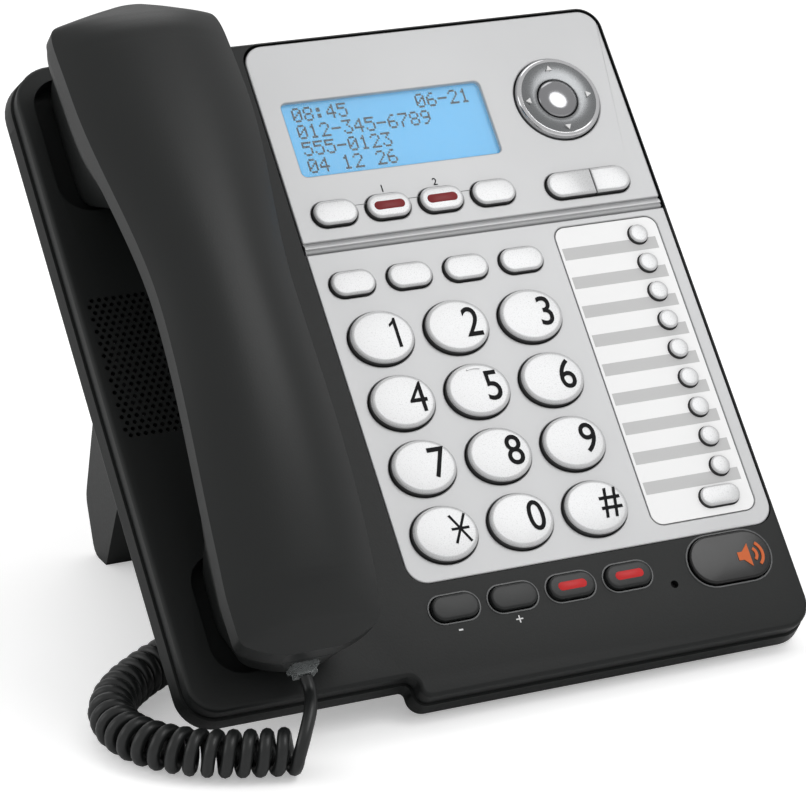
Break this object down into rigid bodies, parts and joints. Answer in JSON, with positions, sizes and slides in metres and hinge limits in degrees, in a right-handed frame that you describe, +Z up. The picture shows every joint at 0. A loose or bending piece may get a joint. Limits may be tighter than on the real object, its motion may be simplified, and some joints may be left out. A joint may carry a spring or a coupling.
{
  "type": "two-line desk telephone",
  "caption": "Black and silver desk telephone on a rear stand: handset on a curly cord, tilting display, keypad, memory keys with an index card and a navigation pad.",
  "frame": {"origin": "on the desk, under the middle of the telephone's bounding box without its cord", "axes": "+Z up from the desk, -Y the way the telephone faces, +X to the right of someone using it"},
  "size_m": [0.2146, 0.1844, 0.1811],
  "materials": {
    "black_body": "fine moulded texture",
    "black_handset": "satin moulded",
    "black_cord": "satin vinyl jacket",
    "silver_plate": "satin silver paint on plastic",
    "black_key": "satin",
    "gloss_black_key": "gloss",
    "silver_key": "silver paint under a clear coat",
    "smoke_ring": "dark plated",
    "chrome_dome": "bright plated",
    "white_card": "printed card",
    "clear_window": "clear polycarbonate",
    "blue_display": "backlit display",
    "green_board": "glass fibre board",
    "grey_mat": "silicone rubber",
    "black_rubber": "matte rubber",
    "steel_capsule": "plated steel",
    "clear_plug": "clear polycarbonate"
  },
  "bodies": {
    "base": {"upper_housing": "black_body", "lower_housing": "black_body", "keypad_plate": "silver_plate", "index_card": "white_card", "key_mat": "grey_mat", "main_board": "green_board", "loudspeaker": "steel_capsule", "desk_stand": "black_body", "front_foot": "black_rubber", "handset_cord": "black_cord", "base_plug": "clear_plug"},
    "display": {"display_bezel": "silver_plate", "display_window": "clear_window", "display_module": "blue_display", "display_back": "black_body"},
    "handset": {"handset_back_shell": "black_handset", "handset_front_shell": "black_handset", "receiver_capsule": "steel_capsule", "handset_microphone": "steel_capsule", "handset_plug": "clear_plug"},
    "hook": {"hook_plunger": "black_body"},
    "pad_dome": {"nav_dome": "chrome_dome"},
    "pad_ring": {"nav_ring": "smoke_ring"},
    "key_1_body": {"key_1": "silver_key"},
    "key_2_body": {"key_2": "silver_key"},
    "key_3_body": {"key_3": "silver_key"},
    "key_4_body": {"key_4": "silver_key"},
    "key_5_body": {"key_5": "silver_key"},
    "key_6_body": {"key_6": "silver_key"},
    "key_7_body": {"key_7": "silver_key"},
    "key_8_body": {"key_8": "silver_key"},
    "key_9_body": {"key_9": "silver_key"},
    "key_star_body": {"key_star": "silver_key"},
    "key_0_body": {"key_0": "silver_key"},
    "key_pound_body": {"key_pound": "silver_key"},
    "redial_key_body": {"redial_key": "silver_key"},
    "flash_key_body": {"flash_key": "silver_key"},
    "pause_key_body": {"pause_key": "silver_key"},
    "remove_key_body": {"remove_key": "silver_key"},
    "volume_down_key_body": {"volume_down_key": "black_key"},
    "volume_up_key_body": {"volume_up_key": "black_key"},
    "headset_key_body": {"headset_key": "black_key"},
    "mute_key_body": {"mute_key": "black_key"},
    "memory_key_1_body": {"memory_key_1": "silver_key"},
    "memory_key_2_body": {"memory_key_2": "silver_key"},
    "memory_key_3_body": {"memory_key_3": "silver_key"},
    "memory_key_4_body": {"memory_key_4": "silver_key"},
    "memory_key_5_body": {"memory_key_5": "silver_key"},
    "memory_key_6_body": {"memory_key_6": "silver_key"},
    "memory_key_7_body": {"memory_key_7": "silver_key"},
    "memory_key_8_body": {"memory_key_8": "silver_key"},
    "memory_key_9_body": {"memory_key_9": "silver_key"},
    "page_key_body": {"page_key": "silver_key"},
    "speaker_key_body": {"speaker_key": "gloss_black_key"},
    "conference_key_body": {"conference_key": "silver_key"},
    "line_1_key_body": {"line_1_key": "silver_key"},
    "line_2_key_body": {"line_2_key": "silver_key"},
    "hold_key_body": {"hold_key": "silver_key"},
    "cancel_key_body": {"cancel_key": "silver_key"},
    "menu_key_body": {"menu_key": "silver_key"}
  },
  "joints": [
    {"name": "display_tilt", "type": "hinge", "parent": "base", "child": "display", "pos_m": [0, 0.01661, 0.11], "axis": [1, 0, 0], "range_deg": [0, 40]},
    {"name": "handset_lift", "type": "slide", "parent": "base", "child": "handset", "axis": [0, -0.7337, 0.6794], "range_m": [0, 0.12]},
    {"name": "hook_plunger_slide", "type": "slide", "parent": "base", "child": "hook", "axis": [0, -0.7337, 0.6794], "range_m": [0, 0.0031]},
    {"name": "pad_rock_sideways", "type": "hinge", "parent": "display", "child": "pad_dome", "pos_m": [0.0718, 0.04129, 0.13922], "axis": [0, 0.6794, 0.7337], "range_deg": [-3, 3], "stiffness_Nm_per_rad": 0.05},
    {"name": "pad_rock_up_down", "type": "hinge", "parent": "pad_dome", "child": "pad_ring", "pos_m": [0.0718, 0.04129, 0.13922], "axis": [1, 0, 0], "range_deg": [-3, 3], "stiffness_Nm_per_rad": 0.05},
    {"name": "key_1_press", "type": "slide", "parent": "base", "child": "key_1_body", "axis": [0, 0.7337, -0.6794], "range_m": [0, 0.001], "stiffness_N_per_m": 300},
    {"name": "key_2_press", "type": "slide", "parent": "base", "child": "key_2_body", "axis": [0, 0.7337, -0.6794], "range_m": [0, 0.001], "stiffness_N_per_m": 300},
    {"name": "key_3_press", "type": "slide", "parent": "base", "child": "key_3_body", "axis": [0, 0.7337, -0.6794], "range_m": [0, 0.001], "stiffness_N_per_m": 300},
    {"name": "key_4_press", "type": "slide", "parent": "base", "child": "key_4_body", "axis": [0, 0.7337, -0.6794], "range_m": [0, 0.001], "stiffness_N_per_m": 300},
    {"name": "key_5_press", "type": "slide", "parent": "base", "child": "key_5_body", "axis": [0, 0.7337, -0.6794], "range_m": [0, 0.001], "stiffness_N_per_m": 300},
    {"name": "key_6_press", "type": "slide", "parent": "base", "child": "key_6_body", "axis": [0, 0.7337, -0.6794], "range_m": [0, 0.001], "stiffness_N_per_m": 300},
    {"name": "key_7_press", "type": "slide", "parent": "base", "child": "key_7_body", "axis": [0, 0.7337, -0.6794], "range_m": [0, 0.001], "stiffness_N_per_m": 300},
    {"name": "key_8_press", "type": "slide", "parent": "base", "child": "key_8_body", "axis": [0, 0.7337, -0.6794], "range_m": [0, 0.001], "stiffness_N_per_m": 300},
    {"name": "key_9_press", "type": "slide", "parent": "base", "child": "key_9_body", "axis": [0, 0.7337, -0.6794], "range_m": [0, 0.001], "stiffness_N_per_m": 300},
    {"name": "key_star_press", "type": "slide", "parent": "base", "child": "key_star_body", "axis": [0, 0.7337, -0.6794], "range_m": [0, 0.001], "stiffness_N_per_m": 300},
    {"name": "key_0_press", "type": "slide", "parent": "base", "child": "key_0_body", "axis": [0, 0.7337, -0.6794], "range_m": [0, 0.001], "stiffness_N_per_m": 300},
    {"name": "key_pound_press", "type": "slide", "parent": "base", "child": "key_pound_body", "axis": [0, 0.7337, -0.6794], "range_m": [0, 0.001], "stiffness_N_per_m": 300},
    {"name": "redial_key_press", "type": "slide", "parent": "base", "child": "redial_key_body", "axis": [0, 0.7337, -0.6794], "range_m": [0, 0.001], "stiffness_N_per_m": 300},
    {"name": "flash_key_press", "type": "slide", "parent": "base", "child": "flash_key_body", "axis": [0, 0.7337, -0.6794], "range_m": [0, 0.001], "stiffness_N_per_m": 300},
    {"name": "pause_key_press", "type": "slide", "parent": "base", "child": "pause_key_body", "axis": [0, 0.7337, -0.6794], "range_m": [0, 0.001], "stiffness_N_per_m": 300},
    {"name": "remove_key_press", "type": "slide", "parent": "base", "child": "remove_key_body", "axis": [0, 0.7337, -0.6794], "range_m": [0, 0.001], "stiffness_N_per_m": 300},
    {"name": "volume_down_key_press", "type": "slide", "parent": "base", "child": "volume_down_key_body", "axis": [0, 0.7337, -0.6794], "range_m": [0, 0.001], "stiffness_N_per_m": 300},
    {"name": "volume_up_key_press", "type": "slide", "parent": "base", "child": "volume_up_key_body", "axis": [0, 0.7337, -0.6794], "range_m": [0, 0.001], "stiffness_N_per_m": 300},
    {"name": "headset_key_press", "type": "slide", "parent": "base", "child": "headset_key_body", "axis": [0, 0.7337, -0.6794], "range_m": [0, 0.001], "stiffness_N_per_m": 300},
    {"name": "mute_key_press", "type": "slide", "parent": "base", "child": "mute_key_body", "axis": [0, 0.7337, -0.6794], "range_m": [0, 0.001], "stiffness_N_per_m": 300},
    {"name": "memory_key_1_press", "type": "slide", "parent": "base", "child": "memory_key_1_body", "axis": [0, 0.7337, -0.6794], "range_m": [0, 0.001], "stiffness_N_per_m": 300},
    {"name": "memory_key_2_press", "type": "slide", "parent": "base", "child": "memory_key_2_body", "axis": [0, 0.7337, -0.6794], "range_m": [0, 0.001], "stiffness_N_per_m": 300},
    {"name": "memory_key_3_press", "type": "slide", "parent": "base", "child": "memory_key_3_body", "axis": [0, 0.7337, -0.6794], "range_m": [0, 0.001], "stiffness_N_per_m": 300},
    {"name": "memory_key_4_press", "type": "slide", "parent": "base", "child": "memory_key_4_body", "axis": [0, 0.7337, -0.6794], "range_m": [0, 0.001], "stiffness_N_per_m": 300},
    {"name": "memory_key_5_press", "type": "slide", "parent": "base", "child": "memory_key_5_body", "axis": [0, 0.7337, -0.6794], "range_m": [0, 0.001], "stiffness_N_per_m": 300},
    {"name": "memory_key_6_press", "type": "slide", "parent": "base", "child": "memory_key_6_body", "axis": [0, 0.7337, -0.6794], "range_m": [0, 0.001], "stiffness_N_per_m": 300},
    {"name": "memory_key_7_press", "type": "slide", "parent": "base", "child": "memory_key_7_body", "axis": [0, 0.7337, -0.6794], "range_m": [0, 0.001], "stiffness_N_per_m": 300},
    {"name": "memory_key_8_press", "type": "slide", "parent": "base", "child": "memory_key_8_body", "axis": [0, 0.7337, -0.6794], "range_m": [0, 0.001], "stiffness_N_per_m": 300},
    {"name": "memory_key_9_press", "type": "slide", "parent": "base", "child": "memory_key_9_body", "axis": [0, 0.7337, -0.6794], "range_m": [0, 0.001], "stiffness_N_per_m": 300},
    {"name": "page_key_press", "type": "slide", "parent": "base", "child": "page_key_body", "axis": [0, 0.7337, -0.6794], "range_m": [0, 0.001], "stiffness_N_per_m": 300},
    {"name": "speaker_key_press", "type": "slide", "parent": "base", "child": "speaker_key_body", "axis": [0, 0.7337, -0.6794], "range_m": [0, 0.001], "stiffness_N_per_m": 300},
    {"name": "conference_key_press", "type": "slide", "parent": "display", "child": "conference_key_body", "axis": [0, 0.7337, -0.6794], "range_m": [0, 0.001], "stiffness_N_per_m": 300},
    {"name": "line_1_key_press", "type": "slide", "parent": "display", "child": "line_1_key_body", "axis": [0, 0.7337, -0.6794], "range_m": [0, 0.001], "stiffness_N_per_m": 300},
    {"name": "line_2_key_press", "type": "slide", "parent": "display", "child": "line_2_key_body", "axis": [0, 0.7337, -0.6794], "range_m": [0, 0.001], "stiffness_N_per_m": 300},
    {"name": "hold_key_press", "type": "slide", "parent": "display", "child": "hold_key_body", "axis": [0, 0.7337, -0.6794], "range_m": [0, 0.001], "stiffness_N_per_m": 300},
    {"name": "cancel_key_press", "type": "slide", "parent": "display", "child": "cancel_key_body", "axis": [0, 0.7337, -0.6794], "range_m": [0, 0.001], "stiffness_N_per_m": 300},
    {"name": "menu_key_press", "type": "slide", "parent": "display", "child": "menu_key_body", "axis": [0, 0.7337, -0.6794], "range_m": [0, 0.001], "stiffness_N_per_m": 300}
  ],
  "couplings": [
    {"joint": "hook_plunger_slide", "follows": "handset_lift", "ratio": 0.025}
  ]
}
